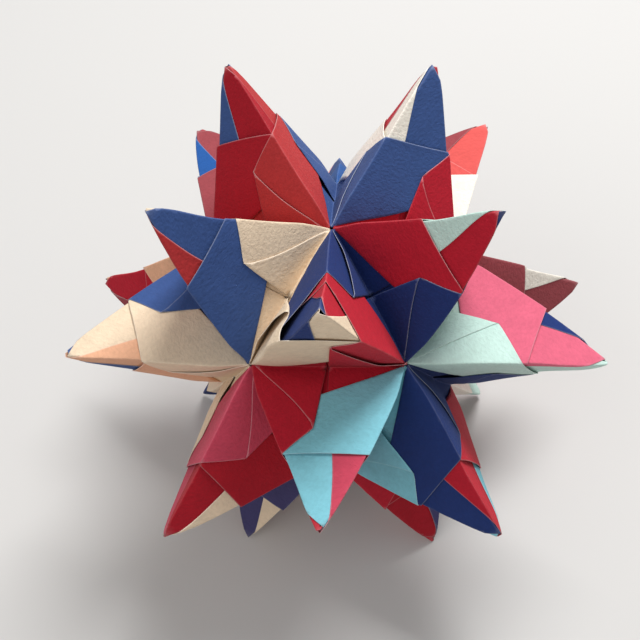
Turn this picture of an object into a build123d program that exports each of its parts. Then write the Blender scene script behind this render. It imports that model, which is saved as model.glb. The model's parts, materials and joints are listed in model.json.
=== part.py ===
from build123d import *
import os
from math import cos, radians, sin, sqrt, tan

# A star with twenty spikes, made of thirty folded square sheets of paper.
# Each sheet lies on one edge of an icosahedron, and its two ends wrap the two spikes beside that edge.
# Millimetres, +Z up. The origin is on the surface that the star stands on, below its middle.

# Driving dimensions
sheet_side = 100.0
sheet_thickness = 0.12
ply_clearance = 0.02

# The bends of thick folds take up paper, so every raw edge stops this far short of its ideal place.
edge_setback = 2.0

# The folds are made at 22.5 degrees to the sheet's edges, and its corners are folded at 45 degrees.
fold_slope = tan(radians(22.5))
corner_share = cos(radians(45))

# Sizes of a spike's face, which the folds give
base_edge = sheet_side * fold_slope
half_edge = base_edge / 2
face_height = sheet_side / 2
cap_height = base_edge * corner_share
fold_height = half_edge * fold_slope
end_reach = fold_height * corner_share

# Places of the raw edges on a face: top of the body, and edges that cross a face at 45 degrees
body_height = cap_height - edge_setback
slant_setback = edge_setback / corner_share
slant_edge = half_edge - slant_setback

# Plies lie on each other, one layer apart. Layer 0 is the sheet's own middle strip on its own face.
ply_pitch = sheet_thickness + ply_clearance
inner_wall_layer = -2
outer_wall_layer = -1
backing_layer = -1
strip_layer = 0
lining_layer = 1
cover_layer = 2
wrap_layer = 3
end_layer = 4
end_lining_layer = 5
body_layer = 6
tab_layer = 7
tab_cover_layer = 8

# A spike's point is too tight for all its plies, so it is blunt by this many of them.
blunt_plies = 13
tip_setback = blunt_plies * ply_pitch

# How far an outline runs past a ridge or a valley before it is trimmed there
overrun_share = 0.15
overrun = base_edge * overrun_share
far = half_edge + overrun
top = face_height + overrun

# Icosahedron that the base edges of the spikes form: a top corner, two rings of corners, a bottom one
ring_count = 5
ring_turn = 360 / ring_count
golden_ratio = (1 + sqrt(5)) / 2
hull_radius = base_edge * sin(radians(ring_turn))
ring_height = hull_radius / sqrt(5)
ring_radius = ring_height * 2
first_azimuth = -126


def spike_tip(a, b, c):
    """Ideal point of the spike that stands on three corners of the icosahedron."""
    axis = (a + b + c).normalized()
    foot = ((a + b + c) / 3).length
    foot_to_edge = base_edge / (2 * sqrt(3))
    return axis * (foot + sqrt(face_height**2 - foot_to_edge**2))


def face_plane(left, right, tip):
    """Plane of a spike's face seen from outside: x along its base, y up to its tip."""
    middle = (left + right) / 2
    along = right - left
    return Plane(origin=middle, x_dir=along, z_dir=along.cross(tip - middle))


# Corners beside one base edge, with the middle of that edge on +Z
left_corner = Vector(-half_edge, 0, half_edge * golden_ratio)
right_corner = Vector(half_edge, 0, half_edge * golden_ratio)
top_corner = Vector(0, half_edge * golden_ratio, half_edge)
low_corner = Vector(0, -half_edge * golden_ratio, half_edge)
side_corner = Vector(half_edge * golden_ratio, half_edge, 0)
own_tip = spike_tip(left_corner, right_corner, top_corner)
across_tip = spike_tip(left_corner, right_corner, low_corner)
side_tip = spike_tip(right_corner, top_corner, side_corner)

# Faces that one sheet touches: its own, the two round its spike, the one across the valley, and the
# one beyond the right face's valley, whose tab the sheet has to clear
own = face_plane(left_corner, right_corner, own_tip)
right = face_plane(right_corner, top_corner, own_tip)
left = face_plane(top_corner, left_corner, own_tip)
across = face_plane(right_corner, left_corner, across_tip)
beyond = face_plane(top_corner, right_corner, side_tip)
blunt_end = Plane(origin=own_tip - own_tip.normalized() * tip_setback, z_dir=own_tip)


def fold_line(x):
    """Height on a face of the long fold that rises to the right from its left corner."""
    return (x + half_edge) * fold_slope


def plies(face, first, last, outline, over=(), under=()):
    """An outline on a face, from one layer to another, trimmed at layers of other faces."""
    foot = face.offset(first * ply_pitch - sheet_thickness / 2)
    depth = (last - first) * ply_pitch + sheet_thickness
    piece = extrude(foot * make_face(Polyline(*outline, close=True)), amount=depth, dir=face.z_dir)
    for other, layer in over:
        floor = other.offset(layer * ply_pitch - sheet_thickness / 2)
        piece = split(piece, bisect_by=floor, keep=Keep.TOP)
    for other, layer in under:
        roof = other.offset(layer * ply_pitch + sheet_thickness / 2)
        piece = split(piece, bisect_by=roof, keep=Keep.BOTTOM)
    return split(piece, bisect_by=blunt_end, keep=Keep.BOTTOM)


def ply(face, layer, outline, over=(), under=()):
    """One flat ply of the sheet."""
    return plies(face, layer, layer, outline, over, under)


def own_face_plies():
    """Middle strip on its own face, with the lining, cover and backing folded round its left edge."""
    whole = [(-far, -overrun), (far, -overrun), (far, top), (-far, top)]
    left_half = [(-far, -overrun), (0, -overrun), (0, top), (-far, top)]
    backing = [(-far, edge_setback), (-edge_setback, edge_setback), (-edge_setback, top), (-far, top)]
    crease = [(-sheet_thickness, -overrun), (0, -overrun), (0, top), (-sheet_thickness, top)]
    ridge = [(0, -overrun), (far, -overrun), (far, top), (0, top)]
    strip_limits = [(right, wrap_layer), (left, inner_wall_layer)]
    return [
        ply(own, strip_layer, whole, [(across, strip_layer)], strip_limits),
        ply(own, lining_layer, left_half, [(across, tab_layer)], [(left, inner_wall_layer)]),
        ply(own, cover_layer, left_half, [(across, tab_cover_layer)], [(left, outer_wall_layer)]),
        ply(own, backing_layer, backing, (), [(left, outer_wall_layer)]),
        plies(own, lining_layer, cover_layer, crease, [(across, tab_layer)], [(left, inner_wall_layer)]),
        ply(left, inner_wall_layer, ridge, [(own, strip_layer), (across, tab_layer)], [(own, lining_layer)]),
        ply(left, outer_wall_layer, ridge, [(own, backing_layer), (across, tab_cover_layer)],
            [(own, cover_layer)]),
    ]


def tab_plies():
    """Tab that comes up out of the valley and lies on the right half of its own face."""
    tab = [(0, -overrun), (far, -overrun), (far, far + slant_edge), (0, slant_edge)]
    cover = [(0, -overrun), (slant_edge + overrun, -overrun), (0, slant_edge)]
    crease = [(0, -overrun), (sheet_thickness, -overrun), (sheet_thickness, slant_edge - sheet_thickness),
              (0, slant_edge)]
    return [
        ply(own, tab_layer, tab, [(across, lining_layer)], [(right, body_layer)]),
        ply(own, tab_cover_layer, cover, [(across, cover_layer)], [(right, body_layer)]),
        plies(own, tab_layer, tab_cover_layer, crease, [(across, lining_layer)]),
    ]


def wrap_plies():
    """Strip and body on the right face, folded on each other into a pocket."""
    strip = [(-far, fold_line(-far)), (far, fold_line(far)), (far, top), (-far, top)]
    body = [(-far, fold_line(-far)), (far, fold_line(far)), (far, body_height), (-far, body_height)]
    step = sheet_thickness * sqrt(1 + fold_slope**2)
    crease = [(-far, fold_line(-far)), (far, fold_line(far)), (far, fold_line(far) + step),
              (-far, fold_line(-far) + step)]
    return [
        ply(right, wrap_layer, strip, (), [(own, strip_layer), (left, end_layer)]),
        ply(right, body_layer, body, (), [(own, tab_layer), (left, end_lining_layer)]),
        plies(right, wrap_layer, body_layer, crease, (), [(own, tab_layer), (left, end_lining_layer)]),
    ]


def end_plies():
    """End of the sheet on the third face, which goes into the pocket of the next sheet."""
    step = sheet_thickness * sqrt(1 + fold_slope**2)
    corner = fold_height + step + ply_clearance * 2
    slant = [(-far, fold_line(far)), (-edge_setback, fold_line(edge_setback))]
    strip = [slant[0], slant[1], (-edge_setback, top), (-far, top)]
    lining = [slant[0], slant[1], (end_reach - slant_setback, fold_height + end_reach),
              (-far, far + slant_edge)]
    crease = [slant[0], slant[1], (-edge_setback, fold_line(edge_setback) + step),
              (-far, fold_line(far) + step)]
    pieces = [
        ply(left, end_layer, strip, (), [(right, wrap_layer)]),
        ply(left, end_lining_layer, lining, (), [(right, body_layer)]),
        plies(left, end_layer, end_lining_layer, crease, (), [(right, body_layer)]),
    ]
    pocket_fold = Plane(
        origin=left.from_local_coords((0, corner, 0)),
        x_dir=left.z_dir,
        z_dir=left.y_dir - left.x_dir * fold_slope,
    )
    return [split(piece, bisect_by=pocket_fold, keep=Keep.TOP) for piece in pieces]


def folded_sheet():
    """One sheet in its folded form. A half turn about +Z brings it onto itself."""
    passing = own_face_plies() + tab_plies() + wrap_plies()
    depth = tab_cover_layer * ply_pitch + sheet_thickness / 2 + ply_clearance
    room = [(half_edge - 2 * overrun, -2 * overrun), (half_edge + 2 * overrun, -2 * overrun),
            (half_edge + 2 * overrun, 2 * overrun), (half_edge - 2 * overrun, 2 * overrun)]
    wedge = extrude(beyond * make_face(Polyline(*room, close=True)), amount=depth, dir=beyond.z_dir)
    lower = extrude(beyond * make_face(Polyline(*room, close=True)), amount=overrun, dir=-beyond.z_dir)
    behind = right.offset(-sheet_thickness / 2 - ply_clearance)
    wedge = split(wedge + lower, bisect_by=behind, keep=Keep.TOP)
    half = [piece - wedge for piece in passing] + end_plies()
    turned = [Rot(0, 0, 180) * piece for piece in half]
    return half[0].fuse(*half[1:], *turned)


def hull_corners():
    """Twelve corners of the icosahedron: top, upper ring, lower ring and bottom."""
    corners = [Vector(0, 0, hull_radius)]
    for ring, shift in ((ring_height, 0), (-ring_height, ring_turn / 2)):
        for k in range(ring_count):
            turn = radians(first_azimuth + shift + ring_turn * k)
            corners.append(Vector(ring_radius * cos(turn), ring_radius * sin(turn), ring))
    return corners + [Vector(0, 0, -hull_radius)]


def sheet_edges():
    """Name of each sheet and the two corners that its base edge joins."""
    edges = {}
    bottom = 2 * ring_count + 1
    for k in range(ring_count):
        upper, upper_next = 1 + k, 1 + (k + 1) % ring_count
        lower, lower_next = upper + ring_count, upper_next + ring_count
        edges[f"crown_sheet_{k + 1}"] = (0, upper)
        edges[f"upper_ring_sheet_{k + 1}"] = (upper, upper_next)
        edges[f"belt_sheet_{2 * k + 1}"] = (upper, lower)
        edges[f"belt_sheet_{2 * k + 2}"] = (lower, upper_next)
        edges[f"lower_ring_sheet_{k + 1}"] = (lower, lower_next)
        edges[f"base_sheet_{k + 1}"] = (lower, bottom)
    return edges


def star():
    """Thirty sheets in place, standing on the five lowest spikes."""
    sheet = folded_sheet()
    corners = hull_corners()
    placed = {}
    for name, (a, b) in sheet_edges().items():
        seat = Plane(origin=(0, 0, 0), x_dir=corners[b] - corners[a], z_dir=corners[a] + corners[b])
        placed[name] = seat.location * sheet
    lowest = min(piece.bounding_box().min.Z for piece in placed.values())
    return {name: Pos(0, 0, -lowest) * piece for name, piece in placed.items()}


os.makedirs("parts", exist_ok=True)
for name, piece in star().items():
    piece.label = name
    export_step(piece, f"parts/{name}.step")
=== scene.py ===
import json
import math

import bpy
import numpy as np
from mathutils import Matrix, Vector
from mathutils.geometry import delaunay_2d_cdt

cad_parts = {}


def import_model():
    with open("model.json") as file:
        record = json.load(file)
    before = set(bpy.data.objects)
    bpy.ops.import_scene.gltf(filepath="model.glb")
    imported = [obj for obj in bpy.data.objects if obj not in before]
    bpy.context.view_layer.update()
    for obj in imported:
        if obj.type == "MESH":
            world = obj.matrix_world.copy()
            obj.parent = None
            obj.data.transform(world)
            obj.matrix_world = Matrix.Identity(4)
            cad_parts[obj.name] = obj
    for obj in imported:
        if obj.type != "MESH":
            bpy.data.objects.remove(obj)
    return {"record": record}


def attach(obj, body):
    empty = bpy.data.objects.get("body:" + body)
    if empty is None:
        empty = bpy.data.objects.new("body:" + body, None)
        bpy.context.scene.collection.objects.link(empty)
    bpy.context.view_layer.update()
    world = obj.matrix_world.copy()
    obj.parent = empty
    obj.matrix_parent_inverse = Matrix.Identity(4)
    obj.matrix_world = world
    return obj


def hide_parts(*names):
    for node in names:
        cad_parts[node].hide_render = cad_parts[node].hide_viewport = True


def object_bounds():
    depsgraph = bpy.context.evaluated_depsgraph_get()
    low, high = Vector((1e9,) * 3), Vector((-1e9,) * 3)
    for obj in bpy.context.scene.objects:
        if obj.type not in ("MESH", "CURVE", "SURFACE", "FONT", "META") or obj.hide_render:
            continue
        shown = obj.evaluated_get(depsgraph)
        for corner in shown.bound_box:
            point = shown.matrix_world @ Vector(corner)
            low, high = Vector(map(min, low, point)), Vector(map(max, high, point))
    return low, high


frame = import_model()
cad_low, cad_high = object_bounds()

# Every sheet is folded here from its flat square: a fine flat mesh is laid out along its creases, and
# each point of it is carried to its place on the star. Sizes are in metres.

# Paper
SHEET_SIDE = 0.1
SHEET_THICKNESS = 0.00012
PLY_PITCH = 0.00014
CREASE_RADIUS = 0.0004

# The long folds lie at 22.5 degrees to the sheet's edges.
FOLD_ANGLE = math.radians(22.5)
BASE_EDGE = SHEET_SIDE * math.tan(FOLD_ANGLE)
HALF_EDGE = BASE_EDGE / 2
FACE_HEIGHT = SHEET_SIDE / 2

# Places in the crease pattern, as shares of the sheet's side
HALF = math.tan(FOLD_ANGLE) / 2
CAP = 0.5 - HALF
FOLD = 0.5 - 2 * HALF
REACH = math.sqrt(2) / 4
SIDE = 0.5 - REACH
FOLDED_SIDE = 2 * HALF * SIDE

# Lengths under the first count as nothing. A point up to the second past a crease still lies on a facet.
NEAR = 1e-6
SLACK = 1e-9

# Icosahedron that the star is built on: a top corner, two rings of corners, a bottom one
RING_COUNT = 5
RING_TURN = 360 / RING_COUNT
HULL_RADIUS = BASE_EDGE * math.sin(math.radians(RING_TURN))
RING_HEIGHT = HULL_RADIUS / math.sqrt(5)
FIRST_AZIMUTH = -126
CENTRE = (np.array(cad_low) + np.array(cad_high)) / 2

# Layers on a spike's face, from the inside out. Layer 0 is the sheet's own middle strip on its own face.
INNER_WALL = -2
BACKING = -1
STRIP = 0
LINING = 1
COVER = 2
WRAP = 3
END = 4
END_LINING = 5
BODY = 6
TAB = 7
TAB_COVER = 8

# The camera's right, down and forward, found from the corners and points of the star in the photograph
# for a star whose first ring corner lies on the x axis, and then turned to where that corner is here
CAMERA_TURN = np.array([
    [-0.61539, 0.78714, -0.04131],
    [0.65052, 0.47759, -0.59054],
    [-0.44511, -0.39028, -0.80595],
])
CAMERA_SHIFT = np.array([0.1030, -0.0144, 9.773]) * BASE_EDGE
FIRST_TURN = math.radians(FIRST_AZIMUTH)
CAMERA_TURN = CAMERA_TURN @ np.array([
    [math.cos(FIRST_TURN), math.sin(FIRST_TURN), 0],
    [-math.sin(FIRST_TURN), math.cos(FIRST_TURN), 0],
    [0, 0, 1],
])

SEED = 30
rng = np.random.default_rng(SEED)


def hull_corners():
    """Twelve corners of the icosahedron: top, upper ring, lower ring, bottom."""
    corners = [(0, 0, HULL_RADIUS)]
    for height, shift in ((RING_HEIGHT, 0), (-RING_HEIGHT, RING_TURN / 2)):
        for k in range(RING_COUNT):
            turn = math.radians(FIRST_AZIMUTH + shift + RING_TURN * k)
            corners.append((2 * RING_HEIGHT * math.cos(turn), 2 * RING_HEIGHT * math.sin(turn), height))
    corners.append((0, 0, -HULL_RADIUS))
    return np.array(corners)


CORNERS = hull_corners()


def are_neighbours(i, j):
    """Whether an edge of the icosahedron joins two corners."""
    return i != j and np.linalg.norm(CORNERS[i] - CORNERS[j]) < BASE_EDGE + NEAR


def beside(i, j):
    """The corner that makes a face of the icosahedron, turning anticlockwise from i to j."""
    for k in range(len(CORNERS)):
        adjoins = all(are_neighbours(k, m) for m in (i, j))
        turn = np.dot(np.cross(CORNERS[j] - CORNERS[i], CORNERS[k] - CORNERS[i]), CORNERS[i])
        if adjoins and turn > 0:
            return k


def unit(v):
    return v / np.linalg.norm(v)


class Face:
    """One of the three faces of a spike, seen from outside: x along its base, y up to its tip."""

    def __init__(self, i, j):
        k = beside(i, j)
        middle = (CORNERS[i] + CORNERS[j] + CORNERS[k]) / 3
        self.axis = unit(middle)
        self.foot = np.linalg.norm(middle)
        middle_to_side = BASE_EDGE / math.sqrt(12)
        self.rise = math.sqrt(FACE_HEIGHT**2 - middle_to_side**2)
        tip = self.axis * (self.foot + self.rise)
        self.spike = tuple(sorted((i, j, k)))
        self.origin = (CORNERS[i] + CORNERS[j]) / 2
        self.x = unit(CORNERS[j] - CORNERS[i])
        self.y = unit(tip - self.origin)
        self.out = np.cross(self.x, self.y)


def facets():
    """The ten facets of half a sheet: face, layer, corners on the flat sheet and on the face, and the
    layers that they meet at the face's left ridge, right ridge and base. Letters name places on the
    flat sheet, as shares of its side. The base edge ends at v and w. The spikes' points are t and u."""
    v, w, t, u = (0.5, 0.5 + HALF), (0.5, 0.5 - HALF), (1, 0.5), (0, 0.5)
    r, e, k, b = (0.5 + REACH, 0.5 + REACH), (1, 0.5 + 2 * HALF), (REACH, 0.5 + REACH), (0.5, 1)
    p, q, n, c, g = (0.5 + 2 * HALF * CAP, 1), (1 - HALF, 1), (1, 1), (0, 1), (HALF, 1)
    left_foot, right_foot, mid, tip = (-HALF, 0), (HALF, 0), (0, 0), (0, 0.5)
    return [
        ("own", STRIP, [(w, left_foot), (v, right_foot), (t, tip)], INNER_WALL, WRAP, STRIP),
        ("right", WRAP, [(v, left_foot), (r, (SIDE, SIDE)), (t, tip)], STRIP, END, None),
        ("left", END, [(t, tip), (r, (-SIDE, SIDE)), (e, (0, FOLD))], WRAP, None, None),
        ("across", LINING, [(u, tip), (v, left_foot), (k, mid)], INNER_WALL, None, TAB),
        ("own", TAB, [(v, right_foot), (p, (FOLD, CAP)), (b, (0, HALF)), (k, mid)], None, BODY, LINING),
        ("right", BODY, [(v, left_foot), (r, (SIDE, SIDE)), (q, (FOLD, CAP)), (p, (-FOLD, CAP))],
         TAB, END_LINING, None),
        ("left", END_LINING,
         [(r, (-SIDE, SIDE)), (e, (0, FOLD)), (n, (FOLDED_SIDE, SIDE)), (q, (-FOLD, CAP))],
         BODY, None, None),
        ("across", BACKING, [(u, tip), (g, left_foot), (c, mid)], BACKING, None, None),
        ("across", COVER, [(u, tip), (k, mid), (g, left_foot)], BACKING, None, TAB_COVER),
        ("own", TAB_COVER, [(g, right_foot), (k, mid), (b, (0, HALF))], None, None, COVER),
    ]


def on_one_side(a, b):
    """Whether the segment a-b lies on a side of the whole square."""
    return any(abs(a[n] - side) + abs(b[n] - side) < NEAR for n in (0, 1) for side in (0, 1))


class Facet:
    """A flat region of the sheet between creases, and how it lies on its face."""

    def __init__(self, side, layer, corners, left, right, base, turned):
        self.side, self.layer, self.turned = side, layer, turned
        self.left, self.right, self.base = left, right, base
        flat = np.array([f for f, _ in corners], float)
        if turned:
            flat = 1 - flat
        on_face = np.array([f for _, f in corners], float)
        if np.cross(flat[1] - flat[0], flat[2] - flat[0]) < 0:
            flat, on_face = flat[::-1], on_face[::-1]
        self.creases = [(a, b) for a, b in zip(flat, np.roll(flat, -1, axis=0)) if not on_one_side(a, b)]
        rows = np.c_[flat[:3], np.ones(3)]
        self.map = np.linalg.solve(rows, on_face[:3])

    def holds(self, points):
        """Which flat points lie between the facet's creases, also past its raw edges."""
        inside = np.ones(len(points), bool)
        for a, b in self.creases:
            edge = b - a
            inside &= edge[0] * (points[:, 1] - a[1]) - edge[1] * (points[:, 0] - a[0]) >= -SLACK
        return inside


FACETS = [Facet(*row, turned) for turned in (False, True) for row in facets()]


def faces_of(i, j):
    """Face of each side name, for the sheet on edge i-j, for its first and its turned half."""
    found = []
    for a, b in ((i, j), (j, i)):
        k = beside(a, b)
        found.append({"own": (a, b), "right": (b, k), "left": (k, a), "across": (b, a)})
    return found


CORNER_NUMBERS = range(len(CORNERS))
FACES = {(i, j): Face(i, j) for i in CORNER_NUMBERS for j in CORNER_NUMBERS if are_neighbours(i, j)}

# Planes of neighbouring faces: cosine of the angle between their normals, and sine across the edge
RIDGE_COSINE = -math.tan(FOLD_ANGLE)
RIDGE_SINE = math.sqrt(1 - RIDGE_COSINE**2)
VALLEY_COSINE = FACES[0, 1].out @ FACES[1, 0].out
VALLEY_SINE = -math.sqrt(1 - VALLEY_COSINE**2)

# The bends take up paper, so raw edges stop short of their ideal places by about this much, a little
# askew.
SHORT = 0.0021 / SHEET_SIDE
SHORT_SPREAD = 0.0006 / SHEET_SIDE
SHORT_SLOPE = 0.02
SIDE_SHORT = {key: rng.normal(SHORT, SHORT_SPREAD) for key in FACES}
END_SHORT = {key: rng.normal(SHORT, SHORT_SPREAD) for key in FACES}

# Millimetres by which they do on faces that the photograph shows well: for half a sheet, named by its
# own face, the side with the tab and the body, and the side that ends in a cap
SIDE_SHORT.update({key: mm / 1000 / SHEET_SIDE for key, mm in {
    (1, 0): 3.3, (2, 1): 2.4, (0, 2): 2.7, (0, 3): 3.1, (3, 2): 0.8, (6, 1): 1.8, (1, 5): 2.6,
    (2, 6): 2.8, (5, 0): 1.7, (10, 5): 1.8, (5, 1): 1.0, (6, 2): 2.4, (3, 0): 2.2, (4, 0): 2.0,
    (7, 3): 0.2, (10, 6): 1.0, (10, 1): 1.2, (7, 2): 1.9, (4, 5): 1.8, (8, 3): 3.6, (9, 5): 2.3,
    (11, 6): 0.4, (1, 2): -2.6, (0, 1): -1.6, (2, 0): 1.0,
}.items()})
END_SHORT.update({key: mm / 1000 / SHEET_SIDE for key, mm in {
    (0, 5): 2.0, (1, 6): 1.9, (2, 3): 1.9, (3, 4): 3.5, (2, 7): 3.8, (1, 10): 1.5, (5, 10): 1.9,
    (6, 7): 2.0, (0, 4): 1.9, (7, 8): 3.4, (3, 8): 1.9, (4, 9): 2.2, (10, 11): 1.9,
    (0, 1): 1.2, (1, 2): 3.0, (2, 0): 2.6,
}.items()})

# The cover on a tab ends this near to the tab's foot, and the ply below follows it over this height.
COVER_GAP = 0.0006
COVER_REACH = 0.008

# Layers draw together near a face's feet and its tip: over this distance, down to these shares.
SETTLE_REACH = 0.011
SETTLED_SHARE = 0.16
TIP_SETTLED_SHARE = 0.35

# A ply is shifted to meet its own continuation past a ridge or a valley, from this near to it.
MITRE_REACH = 0.014

# Nothing but the sheet's own inner ply lies under a tab's foot, so the tab sinks there by this share.
TAB_SINK_SHARE = 0.55
TAB_SINK_REACH = 0.008

# A spike's point is pinched together by this share, over this much of its length.
TIP_PINCH_SHARE = 0.3
TIP_PINCH_REACH = 0.004

# The sheets leave a pinhole where five of them meet.
PINHOLE = 0.0003
PINHOLE_REACH = 0.0016

# Some spikes lean. Their points are moved right and up, as seen in the photograph.
LEAN_REACH = 0.02
LEANS = {
    (0, 1, 2): (-0.0006, 0.0028),
    (0, 1, 5): (0.0007, 0.0017),
    (0, 2, 3): (-0.0013, 0.0007),
    (1, 2, 6): (-0.001, 0.0002),
    (2, 3, 7): (0.0007, -0.0011),
    (2, 6, 7): (0.001, 0.0),
    (3, 7, 8): (-0.0006, 0.0008),
    (4, 5, 9): (0.0011, -0.0007),
    (4, 8, 9): (-0.001, -0.0004),
    (5, 9, 10): (0.0, 0.0009),
    (6, 7, 11): (0.0013, -0.0003),
}

# On these faces the loose corner of the tab gapes more than on the others, most of all on the first
# three, which are on the spike that points at the camera.
GAPES = {(0, 1): 0.0019, (2, 0): 0.0009, (1, 2): 0.0009, (5, 0): 0.0005, (1, 5): 0.0006}

# Per face: how far the body bellies out, and how far raw edges lift and the loose ply gapes. A belly is
# full where three distances from the face's sides are each this share of half a base edge.
BELLY_SHARE = 0.6
BELLY = {key: rng.uniform(0.0001, 0.0006) for key in FACES}
TAB_LIFT = {key: rng.uniform(0.0, 0.0003) for key in FACES}
CAP_LIFT = {key: rng.uniform(0.0, 0.00035) for key in FACES}
BODY_LIFT = {key: rng.uniform(0.0, 0.0004) for key in FACES}
RAW_EDGE_REACH = 0.004
GAPE = {key: GAPES.get(key, rng.uniform(0.0001, 0.0004)) for key in FACES}

# Angle by which each tab's long edge leans towards the ridge, seen on the nearer faces
TAB_TURN = {key: rng.uniform(0.02, 0.16) for key in FACES}
TAB_TURN.update({(1, 0): 0.137, (2, 1): 0.16, (0, 2): 0.09, (0, 3): 0.2, (3, 2): 0.0, (6, 1): 0.03,
                 (1, 5): 0.17, (2, 6): 0.18, (5, 0): 0.04})

# Where three inner corners lie, right and up of their regular places as seen in the photograph
CORNER_SHIFTS = {0: (0.0002, 0.0005), 1: (-0.0002, 0.0004), 2: (-0.00075, 0.0002)}
CORNER_REACH = 0.012

# The outer plies of the spike that points at the camera are pushed out at one ridge, as a pocket.
POCKET_SPIKE = (0, 1, 2)
POCKET_CORNER = 1
POCKET_HEIGHT = 0.028
POCKET_REACH = 0.0085
POCKET_PUSH = (-0.0024, -0.0002)
POCKET_LAYER = END_LINING

# Slow waves that put every ridge and plane a little out of true
WAVE_COUNT = 12
WAVE_LENGTHS = (0.025, 0.07)
WAVE_HEIGHT = 0.00011
WAVES = []
for _ in range(WAVE_COUNT):
    way = unit(rng.normal(size=3))
    WAVES.append((way * 2 * math.pi / rng.uniform(*WAVE_LENGTHS), rng.uniform(0, 2 * math.pi),
                  rng.normal(size=3) * WAVE_HEIGHT))


def smooth_step(t):
    t = np.clip(t, 0, 1)
    return t * t * (3 - 2 * t)


def as_seen(right, up):
    """Direction in space of a shift to the right and up in the photograph."""
    return CAMERA_TURN[0] * right - CAMERA_TURN[1] * up


def near(points, spot, reach):
    """Share from 0 to 1 of how near points are to a spot."""
    return np.exp(-((points - spot) ** 2).sum(axis=1) / reach**2)


def unevenness(points):
    """Small shift of each point in space, the same for all plies that lie there."""
    slow = sum(np.outer(np.sin(points @ way + phase), push) for way, phase, push in WAVES)
    corners = sum(np.outer(near(points, CORNERS[corner], CORNER_REACH), as_seen(*shift))
                  for corner, shift in CORNER_SHIFTS.items())
    return slow + corners


def pocket(points, face, layer):
    """Pushes outer plies off the inner ones at one ridge of the nearest spike."""
    if face.spike != POCKET_SPIKE or layer < POCKET_LAYER:
        return points
    foot = CORNERS[POCKET_CORNER]
    tip = face.axis * (face.foot + face.rise)
    spot = foot + (tip - foot) * POCKET_HEIGHT / (FACE_HEIGHT / math.cos(FOLD_ANGLE))
    return points + np.outer(near(points, spot, POCKET_REACH), as_seen(*POCKET_PUSH))


def shaped_tip(points, face):
    """Pinches the end of a face's spike and leans it."""
    rise = points @ face.axis
    pinch = TIP_PINCH_SHARE * smooth_step(1 - (face.foot + face.rise - rise) / TIP_PINCH_REACH)
    placed = points - (points - np.outer(rise, face.axis)) * pinch[:, None]
    right, up = LEANS.get(face.spike, (0, 0))
    bend = smooth_step((points @ face.axis - face.foot - face.rise + LEAN_REACH) / LEAN_REACH)
    return placed + np.outer(bend, as_seen(right, up))


def fanned(x, y, half, under):
    """Shift along the base that brings the raw edge of a tab's cover to the tab's foot."""
    gap = math.sqrt(2) * SIDE_SHORT[half] * SHEET_SIDE
    share = (HALF_EDGE - COVER_GAP) / (HALF_EDGE - gap) - 1
    room = (HALF_EDGE - y * math.tan(FOLD_ANGLE) - np.abs(x)) / max(gap, COVER_GAP)
    fade = smooth_step(1 - y / COVER_REACH) if under else 1
    return x * share * np.clip(room, 0, 1) * fade


def ridge_gaps(x, y):
    """Distances from a face's left and right ridge."""
    cosine, sine = math.cos(FOLD_ANGLE), math.sin(FOLD_ANGLE)
    return (x + HALF_EDGE) * cosine - y * sine, (HALF_EDGE - x) * cosine - y * sine


def slid(face_key, layer, x, y):
    """Places on a face after covers have reached their tab's foot and tabs have leaned."""
    if layer == TAB_COVER:
        x = x + fanned(x, y, face_key, under=False)
    if layer == COVER:
        x = x + fanned(x, y, face_key[::-1], under=True)
    if layer in (TAB, TAB_COVER):
        ridge_share = np.clip(x / (HALF_EDGE - y * math.tan(FOLD_ANGLE)), 0, 1)
        turn = TAB_TURN[face_key] * np.clip(y, 0, None) * (1 - ridge_share)
        x, y = x + turn, y + turn
    return x, y


def settled(x, y):
    """Share of its height that a layer keeps: plies draw together near a face's corners."""
    foot_gap = np.hypot(np.abs(x) - HALF_EDGE, y)
    tip_gap = np.hypot(x, y - FACE_HEIGHT)
    return np.minimum(
        SETTLED_SHARE + (1 - SETTLED_SHARE) * smooth_step(foot_gap / SETTLE_REACH),
        TIP_SETTLED_SHARE + (1 - TIP_SETTLED_SHARE) * smooth_step(tip_gap / SETTLE_REACH))


def sunk(x, y):
    """Share of its height that a tab keeps towards its base."""
    _, from_ridge = ridge_gaps(np.abs(x), y)
    near_base = smooth_step(1 - y / TAB_SINK_REACH)
    return 1 - TAB_SINK_SHARE * near_base * smooth_step(from_ridge / TAB_SINK_REACH)


def layer_height(layer, x, y):
    """Height of a flat ply above its face."""
    height = layer * PLY_PITCH * settled(x, y)
    return height * sunk(x, y) if layer in (TAB, TAB_COVER) else height


def mitre_shift(facet, x, y, height):
    """Shift along a face that makes a ply meet its own continuation on the neighbouring faces."""
    cosine, sine = math.cos(FOLD_ANGLE), math.sin(FOLD_ANGLE)
    from_left, from_right = ridge_gaps(x, y)
    shift = np.zeros((len(x), 2))
    for other, gap, way, dot, across in (
            (facet.left, from_left, (-cosine, sine), RIDGE_COSINE, RIDGE_SINE),
            (facet.right, from_right, (cosine, sine), RIDGE_COSINE, RIDGE_SINE),
            (facet.base, y, (0, -1), VALLEY_COSINE, VALLEY_SINE)):
        if other is not None:
            meet = (layer_height(other, x, y) - dot * height) / across
            shift += np.outer(meet * smooth_step(1 - gap / MITRE_REACH), way)
    return shift


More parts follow.
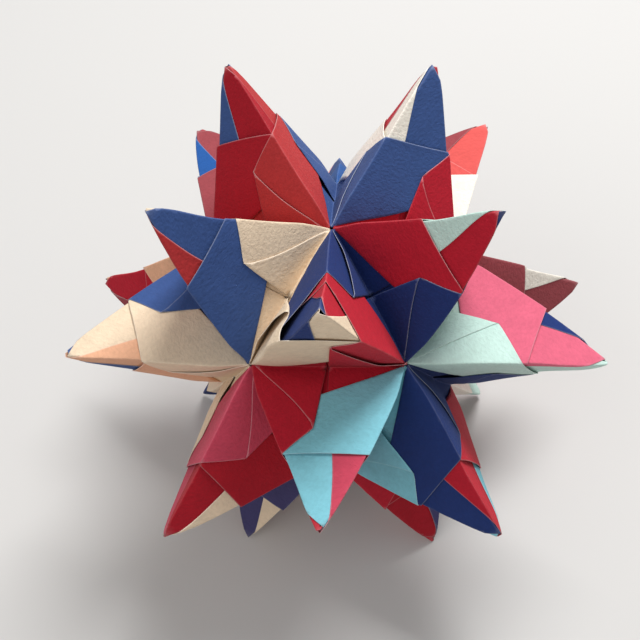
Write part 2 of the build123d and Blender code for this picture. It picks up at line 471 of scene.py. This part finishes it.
def lifted(face_key, layer, x, y):
    """How far a ply bellies out, its raw edges lift and a loose ply gapes."""
    from_left, from_right = ridge_gaps(x, y)
    off_ridge = smooth_step(np.minimum(from_left, from_right) / RAW_EDGE_REACH)
    lift = np.zeros_like(x)
    if layer == END:
        lift += CAP_LIFT[face_key] * off_ridge * smooth_step(1 + x / RAW_EDGE_REACH)
    if layer >= BODY:
        belly = np.clip(from_left, 0, None) * np.clip(from_right, 0, None) * np.clip(y, 0, None)
        lift += BELLY[face_key] * np.clip(belly / (HALF_EDGE * BELLY_SHARE) ** 3, 0, 1)
        body_top = smooth_step(1 - (CAP * SHEET_SIDE - y) / RAW_EDGE_REACH)
        lift += BODY_LIFT[face_key] * off_ridge * body_top
    if layer in (TAB, TAB_COVER):
        lift += TAB_LIFT[face_key] * off_ridge * np.clip((y - x) / HALF_EDGE, 0, 1) ** 2
    if layer == TAB_COVER:
        lift += GAPE[face_key] * np.clip(x * y / (HALF_EDGE / 2) ** 2, 0, 1)
    return lift


def on_star(face_key, facet, spots):
    """Places points of one facet, given on its face, in space."""
    face, layer = FACES[face_key], facet.layer
    x, y = slid(face_key, layer, spots[:, 0] * SHEET_SIDE, spots[:, 1] * SHEET_SIDE)
    height = layer_height(layer, x, y)
    shift = mitre_shift(facet, x, y, height)
    height = height + lifted(face_key, layer, x, y)
    placed = (face.origin + np.outer(x + shift[:, 0], face.x) + np.outer(y + shift[:, 1], face.y)
              + np.outer(height, face.out))
    return shaped_tip(pocket(placed, face, layer), face)


def folded(points, edge):
    """Places flat points of the sheet on one edge, with its creases sharp."""
    placed = np.zeros((len(points), 3))
    todo = np.ones(len(points), bool)
    sides = faces_of(*edge)
    for facet in FACETS:
        mask = todo & facet.holds(points)
        if mask.any():
            spots = np.c_[points[mask], np.ones(mask.sum())] @ facet.map
            placed[mask] = on_star(sides[facet.turned][facet.side], facet, spots)
            todo &= ~mask
    return placed


# Rings of a small disc: share of its radius, number of points, and by how many steps they are turned
DISC_RINGS = ((0.45, 6, 0.0), (0.85, 12, 0.5))


def disc_offsets():
    """Points spread over a small disc, whose mean rounds each crease."""
    spots = [(0.0, 0.0)]
    for ring, count, start in DISC_RINGS:
        for k in range(count):
            turn = 2 * math.pi * (k + start) / count
            spots.append((ring * math.cos(turn), ring * math.sin(turn)))
    return np.array(spots) * CREASE_RADIUS / SHEET_SIDE


DISC = disc_offsets()


def creased(points, edge):
    """Places flat points with rounded creases, a pinhole at each end of the base edge, and uneven."""
    placed = np.mean([folded(points + spot, edge) for spot in DISC], axis=0)
    for end, other in (edge, edge[::-1]):
        gap = np.linalg.norm(placed - CORNERS[end], axis=1)
        away = unit(CORNERS[other] - CORNERS[end])
        placed = placed + np.outer(PINHOLE * np.exp(-gap / PINHOLE_REACH), away)
    return placed + unevenness(placed)


# The flat mesh: an even grid, with closer points along the creases and the raw edges
GRID_STEP = 0.0024 / SHEET_SIDE
GRID_CLEARANCE = 0.0016 / SHEET_SIDE
GRID_SHAKE = 0.15
LINE_STEP = 0.0017 / SHEET_SIDE
LEAST_GAP = 0.00015 / SHEET_SIDE
LEAST_LENGTH = 0.0004 / SHEET_SIDE
BESIDE_CREASE = [s / SHEET_SIDE for s in (0.00018, 0.0004, 0.0009)]
INSIDE_RIM = [s / SHEET_SIDE for s in (0.0003, 0.001)]
RUN_ON = 0.005 / SHEET_SIDE


def same_segment(one, two):
    """Whether two segments have the same ends, in either order."""
    (a, b), (c, d) = one, two
    gaps = [np.abs(a - e).max() + np.abs(b - f).max() for e, f in ((c, d), (d, c))]
    return min(gaps) < NEAR


def away_from(points, a, b):
    """Distance of points from the segment a-b."""
    t = np.clip(((points - a) @ (b - a)) / ((b - a) @ (b - a)), 0, 1)
    return np.linalg.norm(points - a - np.outer(t, b - a), axis=1)


def crease_segments():
    """Ends of every crease of the whole sheet. A crease that ends on a side of the square runs on."""
    found = []
    for facet in FACETS:
        for pair in facet.creases:
            if not any(same_segment(pair, known) for known in found):
                found.append(pair)
    spread = []
    for a, b in found:
        way = unit(b - a) * RUN_ON
        spread.append((a - way * on_one_side(a, a), b + way * on_one_side(b, b)))
    return spread


def grid_points(creases):
    """Slightly shaken points of an even grid, clear of the creases."""
    row = GRID_STEP * math.sqrt(3) / 2
    spots = [((n + 0.5 * (m % 2)) * GRID_STEP, m * row)
             for m in range(int(1 / row) + 1) for n in range(int(1 / GRID_STEP) + 1)]
    spots = np.array(spots) + rng.uniform(-GRID_SHAKE, GRID_SHAKE, (len(spots), 2)) * GRID_STEP
    gap = np.min([away_from(spots, a, b) for a, b in creases], axis=0)
    return spots[gap > GRID_CLEARANCE]


CREASES = crease_segments()
GRID = grid_points(CREASES)


def sheet_limits(edge):
    """The four raw edges of one sheet, as lines n p = c with the sheet where n p is less."""
    limits = []
    for half, turned in ((edge, False), (edge[::-1], True)):
        for table, axis in ((END_SHORT, 0), (SIDE_SHORT, 1)):
            slope = rng.normal(0, SHORT_SLOPE)
            normal = np.array([1.0, slope] if axis == 0 else [slope, 1.0])
            reach = 1 - table[half] + slope / 2
            limits.append((-normal, reach - normal.sum()) if turned else (normal, reach))
    return limits


def cut_at(a, b, limits):
    """Part of the segment a-b that lies on the sheet, or nothing."""
    start, end = 0.0, 1.0
    for normal, reach in limits:
        along_it, room = normal @ (b - a), reach - normal @ a
        if along_it > NEAR:
            end = min(end, room / along_it)
        elif along_it < -NEAR:
            start = max(start, room / along_it)
        elif room < 0:
            return None
    if (end - start) * np.linalg.norm(b - a) < LEAST_LENGTH:
        return None
    return a + (b - a) * start, a + (b - a) * end


def rim_segments(limits, creases):
    """The sheet's raw edges, cut where creases meet them."""
    found = []
    count = len(limits)
    for n, (normal, reach) in enumerate(limits):
        neighbours = [limits[m % count] for m in (n - 1, n + 1)]
        ends = [np.linalg.solve([side, normal], [room, reach]) for side, room in neighbours]
        marks = ends + [p for pair in creases for p in pair if abs(normal @ p - reach) < NEAR]
        marks.sort(key=lambda p: (p - ends[0]) @ (ends[1] - ends[0]))
        found += [(a, b) for a, b in zip(marks, marks[1:]) if np.linalg.norm(b - a) > NEAR]
    return found


def along(a, b):
    """Evenly spaced points from a to b."""
    count = max(2, int(round(np.linalg.norm(b - a) / LINE_STEP)) + 1)
    return a + np.outer(np.linspace(0, 1, count), b - a)


def rows_beside(segments, gaps):
    """Rows of points on both sides of segments."""
    rows = []
    for a, b in segments:
        side = np.array([a[1] - b[1], b[0] - a[0]]) / np.linalg.norm(b - a)
        rows += [along(a, b) + side * gap * way for gap in gaps for way in (1, -1)]
    return np.vstack(rows)


def room_inside(points, limits):
    """Distance of points from the nearest raw edge."""
    rooms = [(reach - points @ normal) / np.linalg.norm(normal) for normal, reach in limits]
    return np.min(rooms, axis=0)


# How far paling shows beside a crease, a raw edge and a spike's point, and how strong it is on a crease
# and a point. On a raw edge it is full. At a point it is wear; at creases and raw edges it is partly
# wear and partly a painted highlight.
CREASE_WEAR_AND_HIGHLIGHT_WIDTH = 0.0004
RIM_WEAR_AND_HIGHLIGHT_WIDTH = 0.0003
TIP_WEAR_REACH = 0.0045
CREASE_WEAR_AND_HIGHLIGHT = 0.3
TIP_WEAR = 0.7

# Places on the flat square that become spikes' points
FLAT_TIPS = ((0, 0.5), (1, 0.5))


class FlatSheet:
    """Points and triangles of one flat sheet, with an edge of the mesh along every crease."""

    def __init__(self, edge):
        self.limits = sheet_limits(edge)
        cut = [cut_at(a, b, self.limits) for a, b in CREASES]
        creases = [pair for pair in cut if pair is not None]
        points, lines = [], []
        rims = rim_segments(self.limits, creases)
        for a, b in rims + creases:
            row = along(a, b)
            lines += [(len(points) + n, len(points) + n + 1) for n in range(len(row) - 1)]
            points += list(row)
        rows = np.vstack([rows_beside(creases, BESIDE_CREASE), rows_beside(rims, INSIDE_RIM)])
        grid = GRID[room_inside(GRID, self.limits) > GRID_CLEARANCE]
        inner = np.vstack([rows[room_inside(rows, self.limits) > LEAST_GAP], grid])
        self.taken = {tuple(cell) for cell in np.floor(np.array(points) / LEAST_GAP).astype(int)}
        points += [spot for spot in inner if self.free(spot)]
        verts, _, faces, _, _, _ = delaunay_2d_cdt([Vector(p) for p in points], lines, [], 1, NEAR)
        self.points = np.array([tuple(v) for v in verts])
        self.faces = [tuple(f) for f in faces]
        seen = {(a, b) for f in self.faces for a, b in zip(f, f[1:] + f[:1])}
        self.rim = sorted((a, b) for a, b in seen if (b, a) not in seen)

    def free(self, spot):
        """Whether no kept point lies right beside this one, which is then kept."""
        column, row = (int(n) for n in np.floor(spot / LEAST_GAP))
        if any((column + m, row + n) in self.taken for m in (-1, 0, 1) for n in (-1, 0, 1)):
            return False
        self.taken.add((column, row))
        return True

    def normals(self, placed):
        """Mean normal of the triangles round each placed point."""
        corners = np.array(self.faces)
        a, b, c = (placed[corners[:, n]] for n in range(3))
        flat = np.cross(b - a, c - a)
        total = np.zeros_like(placed)
        for n in range(3):
            np.add.at(total, corners[:, n], flat)
        return total / np.maximum(np.linalg.norm(total, axis=1, keepdims=True), NEAR**2)

    def wear_and_highlight(self):
        """How pale each flat point is, from 0 to 1: wear, and a painted highlight on creases and raw
        edges.
        """
        gap = np.min([away_from(self.points, a, b) for a, b in CREASES], axis=0) * SHEET_SIDE
        rim = room_inside(self.points, self.limits) * SHEET_SIDE
        ends = [np.linalg.norm(self.points - end, axis=1) for end in FLAT_TIPS]
        tip = np.min(ends, axis=0) * SHEET_SIDE
        # Paler along creases and raw edges: partly wear, partly a painted highlight
        wear_and_highlight_level = np.maximum(CREASE_WEAR_AND_HIGHLIGHT * (1 - gap / CREASE_WEAR_AND_HIGHLIGHT_WIDTH), 1 - rim / RIM_WEAR_AND_HIGHLIGHT_WIDTH)
        return np.clip(np.maximum(wear_and_highlight_level, TIP_WEAR * (1 - tip / TIP_WEAR_REACH)), 0, 1)


# How far the grain is moved from one sheet to the next, as a share of a sheet's side
UV_STEP_SHARE = 1.37


def sheet_mesh(name, sheet, middle, index):
    """Closed mesh of one sheet from its middle surface, with two sides and a cut rim."""
    half = sheet.normals(middle) * SHEET_THICKNESS / 2
    count = len(middle)
    faces = sheet.faces + [tuple(n + count for n in reversed(f)) for f in sheet.faces]
    on_sides = len(faces)
    faces += [(b, a, a + count, b + count) for a, b in sheet.rim]
    mesh = bpy.data.meshes.new(name)
    mesh.from_pydata(np.vstack([middle + half, middle - half]).tolist(), [], faces)
    mesh.polygons.foreach_set("use_smooth", [True] * on_sides + [False] * len(sheet.rim))
    mesh.polygons.foreach_set("material_index", [0] * on_sides + [1] * len(sheet.rim))
    corners = np.zeros(len(mesh.loops), int)
    mesh.loops.foreach_get("vertex_index", corners)
    flat = np.vstack([sheet.points, sheet.points]) + index * UV_STEP_SHARE
    mesh.uv_layers.new(name="flat").data.foreach_set("uv", flat[corners].ravel())
    # Paling of each point: wear, and a painted highlight along creases and raw edges
    wear_and_highlight_level = sheet.wear_and_highlight()
    mesh.attributes.new("wear_and_highlight", "FLOAT", "POINT").data.foreach_set("value", np.r_[wear_and_highlight_level, wear_and_highlight_level])
    return mesh


# Colours of the papers, as screen values
PAPER_COLOURS = {
    "cream_paper": (228, 206, 178),
    "ivory_paper": (240, 233, 220),
    "navy_paper": (28, 50, 108),
    "denim_paper": (56, 82, 136),
    "bright_blue_paper": (32, 84, 152),
    "violet_paper": (66, 62, 104),
    "crimson_paper": (182, 24, 44),
    "brick_paper": (176, 48, 50),
    "deep_red_paper": (164, 16, 34),
    "raspberry_paper": (190, 66, 88),
    "coral_paper": (214, 88, 84),
    "pink_paper": (212, 98, 122),
    "dusty_rose_paper": (148, 66, 72),
    "peach_paper": (226, 172, 138),
    "mint_paper": (190, 218, 208),
    "sky_paper": (126, 192, 206),
}

# How much paler the paper is inside, where it is cut, and where it is paled by wear and by a painted
# highlight along creases and raw edges
CORE_SHARE = 0.22
WEAR_AND_HIGHLIGHT_SHARE = 0.18


def linear(colour):
    """Screen values from 0 to 255 as the shader's values from 0 to 1."""
    shares = [c / 255 for c in colour]
    return [c / 12.92 if c <= 0.04045 else ((c + 0.055) / 1.055) ** 2.4 for c in shares]


def toward_white(colour, share):
    """Colour mixed with white."""
    return [c + (1 - c) * share for c in colour]


class Tree:
    """A material's nodes, made and joined by short calls."""

    def __init__(self, name):
        self.material = bpy.data.materials.new(name)
        self.material.use_nodes = True
        self.nodes = self.material.node_tree.nodes
        self.links = self.material.node_tree.links
        self.shader = self.nodes["Principled BSDF"]

    def add(self, kind, settings=(), **values):
        """Adds a node. Settings are its properties, and values go to its inputs."""
        made = self.nodes.new("ShaderNode" + kind)
        for key, value in dict(settings).items():
            setattr(made, key, value)
        for key, value in values.items():
            made.inputs[key.replace("_", " ")].default_value = value
        return made

    def join(self, made, out, into, socket):
        self.links.new(made.outputs[out], into.inputs[socket])

    def ranged(self, noise, span, result):
        """Carries a noise's values from one span to another."""
        made = self.add("MapRange", From_Min=span[0], From_Max=span[1], To_Min=result[0], To_Max=result[1])
        self.join(noise, "Fac", made, "Value")
        return made

    def product(self, *factors):
        """Multiplies two values, each given as its node and the name of its output."""
        made = self.add("Math", {"operation": "MULTIPLY"})
        for socket, (source, out) in enumerate(factors):
            self.join(source, out, made, socket)
        return made


# Paper grain: felt marks about a millimetre long, and fibres much finer than that
FELT_SCALE = 105.0
FELT_STRETCH = (0.85, 1.15, 1.0)
FELT_TURN = 0.5
FELT_DEPTH = 0.00021
FIBRE_SCALE = 460.0
FIBRE_DEPTH = 0.00003
MOTTLE_SCALE = 26.0

# Shades that the mottling and the felt marks give the paper, over this span of their noise
SHADE_SPAN = (0.3, 0.7)
MOTTLE_SHADES = (0.94, 1.05)
FELT_SHADES = (0.95, 1.05)

# Wear and painted highlight show in patches: by these shares of them, over this span of the mottling's
# noise
PATCH_SPAN = (0.3, 0.65)
PATCH_SHARES = (0.55, 1.0)

PAPER_ROUGHNESS = 0.86
PAPER_GLOSS = 0.25
PAPER_SHEEN = 0.02

# Sockets of a mix node for colours: share of the upper colour, lower colour, upper colour, result
MIX_SHARE = 0
MIX_LOWER = 6
MIX_UPPER = 7
MIX_RESULT = 2


def paper_material(name, colour):
    """Matt paper with pressed felt marks, faint mottling, and folds paled by wear and painted highlight.
    """
    tree = Tree(name)
    tree.shader.inputs["Roughness"].default_value = PAPER_ROUGHNESS
    tree.shader.inputs["Specular IOR Level"].default_value = PAPER_GLOSS
    tree.shader.inputs["Sheen Weight"].default_value = PAPER_SHEEN
    flat = tree.add("UVMap", {"uv_map": "flat"})
    stretch = tree.add("Mapping", Scale=FELT_STRETCH, Rotation=(0, 0, FELT_TURN))
    felt = tree.add("TexNoise", Scale=FELT_SCALE, Detail=2.0, Roughness=0.5, Distortion=0.45)
    fibre = tree.add("TexNoise", Scale=FIBRE_SCALE, Detail=2.0, Roughness=0.6)
    mottle = tree.add("TexNoise", Scale=MOTTLE_SCALE, Detail=4.0, Roughness=0.6)
    tree.join(flat, "UV", stretch, "Vector")
    tree.join(stretch, "Vector", felt, "Vector")
    tree.join(flat, "UV", fibre, "Vector")
    tree.join(flat, "UV", mottle, "Vector")
    shade = tree.ranged(mottle, SHADE_SPAN, MOTTLE_SHADES)
    grain = tree.ranged(felt, SHADE_SPAN, FELT_SHADES)
    value = tree.product((shade, "Result"), (grain, "Result"))
    tint = tree.add("HueSaturation", Color=(*colour, 1))
    tree.join(value, "Value", tint, "Value")
    # Paler along creases and raw edges: partly wear, partly a painted highlight
    wear_and_highlight_level = tree.add("Attribute", {"attribute_name": "wear_and_highlight"})
    patches = tree.ranged(mottle, PATCH_SPAN, PATCH_SHARES)
    amount = tree.product((wear_and_highlight_level, "Fac"), (patches, "Result"))
    blend = tree.add("Mix", {"data_type": "RGBA"})
    blend.inputs[MIX_UPPER].default_value = (*toward_white(colour, WEAR_AND_HIGHLIGHT_SHARE), 1)
    tree.join(amount, "Value", blend, MIX_SHARE)
    tree.join(tint, "Color", blend, MIX_LOWER)
    tree.join(blend, MIX_RESULT, tree.shader, "Base Color")
    coarse = tree.add("Bump", Strength=1.0, Distance=FELT_DEPTH)
    fine = tree.add("Bump", Strength=1.0, Distance=FIBRE_DEPTH)
    tree.join(felt, "Fac", coarse, "Height")
    tree.join(fibre, "Fac", fine, "Height")
    tree.join(coarse, "Normal", fine, "Normal")
    tree.join(fine, "Normal", tree.shader, "Normal")
    return tree.material


def sheet_edges():
    """Name of each sheet and the two corners that its base edge joins."""
    edges = {}
    bottom = 2 * RING_COUNT + 1
    for k in range(RING_COUNT):
        upper, upper_next = 1 + k, 1 + (k + 1) % RING_COUNT
        lower, lower_next = upper + RING_COUNT, upper_next + RING_COUNT
        edges[f"crown_sheet_{k + 1}"] = (0, upper)
        edges[f"upper_ring_sheet_{k + 1}"] = (upper, upper_next)
        edges[f"belt_sheet_{2 * k + 1}"] = (upper, lower)
        edges[f"belt_sheet_{2 * k + 2}"] = (lower, upper_next)
        edges[f"lower_ring_sheet_{k + 1}"] = (lower, lower_next)
        edges[f"base_sheet_{k + 1}"] = (lower, bottom)
    return edges


def star():
    """Folds every sheet, stands the star on its lowest point, and gives each sheet its paper."""
    papers = {row["node"]: row["material_slot"] for row in frame["record"]["subparts"]}
    sides = {slot: paper_material(slot, linear(c)) for slot, c in PAPER_COLOURS.items()}
    cut = {slot: paper_material(slot + "_cut", toward_white(linear(c), CORE_SHARE))
           for slot, c in PAPER_COLOURS.items()}
    sheets = {node: FlatSheet(edge) for node, edge in sheet_edges().items()}
    folds = {node: creased(sheets[node].points, edge) + CENTRE for node, edge in sheet_edges().items()}
    lowest = min(middle[:, 2].min() for middle in folds.values()) - SHEET_THICKNESS / 2
    for index, (node, middle) in enumerate(folds.items()):
        mesh = sheet_mesh("folded_" + node, sheets[node], middle - (0, 0, lowest), index)
        mesh.materials.append(sides[papers[node]])
        mesh.materials.append(cut[papers[node]])
        piece = bpy.data.objects.new(mesh.name, mesh)
        bpy.context.scene.collection.objects.link(piece)
        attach(piece, "root")
        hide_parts(node)


FLOOR_REACH = 3.0
FLOOR_COLOUR = (0.6, 0.59, 0.575, 1)
FLOOR_ROUGHNESS = 0.9


def floor():
    """Plain pale floor."""
    mesh = bpy.data.meshes.new("floor")
    outline = [(x * FLOOR_REACH, y * FLOOR_REACH, 0) for x, y in ((-1, -1), (1, -1), (1, 1), (-1, 1))]
    mesh.from_pydata(outline, [], [(0, 1, 2, 3)])
    tree = Tree("floor")
    tree.shader.inputs["Base Color"].default_value = FLOOR_COLOUR
    tree.shader.inputs["Roughness"].default_value = FLOOR_ROUGHNESS
    mesh.materials.append(tree.material)
    stage = bpy.data.objects.new("floor", mesh)
    bpy.context.scene.collection.objects.link(stage)


# The lens, as a share of the sensor's width, was found together with the camera's place.
SENSOR_WIDTH = 36.0
FOCAL_SHARE = 2.1886


def camera():
    """Camera at the photograph's place: the star seen from above at about 54 degrees."""
    data = bpy.data.cameras.new("camera")
    data.sensor_width = SENSOR_WIDTH
    data.lens = SENSOR_WIDTH * FOCAL_SHARE
    eye = bpy.data.objects.new("camera", data)
    to_world = np.eye(4)
    to_world[:3, :3] = CAMERA_TURN.T @ np.diag([1, -1, -1])
    to_world[:3, 3] = CENTRE - CAMERA_TURN.T @ CAMERA_SHIFT
    eye.matrix_world = Matrix(to_world.tolist())
    bpy.context.scene.collection.objects.link(eye)
    bpy.context.scene.camera = eye


def lamp(name, azimuth, elevation, distance, size, watts):
    """Soft square lamp that points at the star."""
    data = bpy.data.lights.new(name, "AREA")
    data.shape = "SQUARE"
    data.size = size
    data.energy = watts
    light = bpy.data.objects.new(name, data)
    a, e = math.radians(azimuth), math.radians(elevation)
    way = Vector((math.cos(a) * math.cos(e), math.sin(a) * math.cos(e), math.sin(e)))
    light.location = Vector(CENTRE) + way * distance
    light.rotation_euler = way.to_track_quat("Z", "Y").to_euler()
    bpy.context.scene.collection.objects.link(light)


def world(strength):
    """Even pale surroundings."""
    made = bpy.data.worlds.new("studio")
    bpy.context.scene.world = made
    made.use_nodes = True
    made.node_tree.nodes["Background"].inputs["Color"].default_value = (1, 1, 1, 1)
    made.node_tree.nodes["Background"].inputs["Strength"].default_value = strength


star()
floor()
camera()
lamp("key", azimuth=62, elevation=60, distance=1.0, size=0.45, watts=11.4)
lamp("fill", azimuth=230, elevation=45, distance=1.2, size=1.0, watts=4.0)
world(strength=0.36)
bpy.context.scene.view_settings.view_transform = "Standard"
